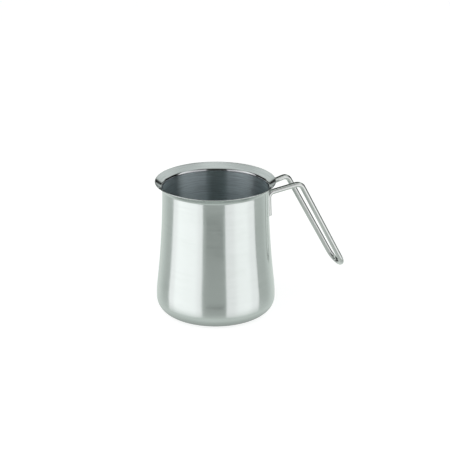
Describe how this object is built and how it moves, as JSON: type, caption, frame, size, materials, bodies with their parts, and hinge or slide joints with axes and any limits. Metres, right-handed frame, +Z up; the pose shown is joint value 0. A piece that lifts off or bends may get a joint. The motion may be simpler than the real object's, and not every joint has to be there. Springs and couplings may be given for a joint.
{
  "type": "candle melting pot",
  "caption": "Open steel melting and pouring pot: wide belly, straight neck, flared rim, and a long handle bent from one round wire and welded to the neck.",
  "frame": {"origin": "centre of the ring that the pot stands on, on the pot's own axis", "axes": "+Z up along the pot's axis and out of its mouth, +X towards the handle, +Y to the left when looking along the handle"},
  "size_m": [0.2081, 0.12, 0.1365],
  "materials": {
    "pot_steel": "polished outside, fine circular brushing inside and on the flare",
    "handle_steel": "polished drawn wire",
    "weld_steel": "cleaned weld metal, slightly rippled and duller than the sheet"
  },
  "bodies": {
    "root": {"pot_shell": "pot_steel", "wire_handle": "handle_steel", "handle_weld_left": "weld_steel", "handle_weld_right": "weld_steel"}
  },
  "joints": []
}
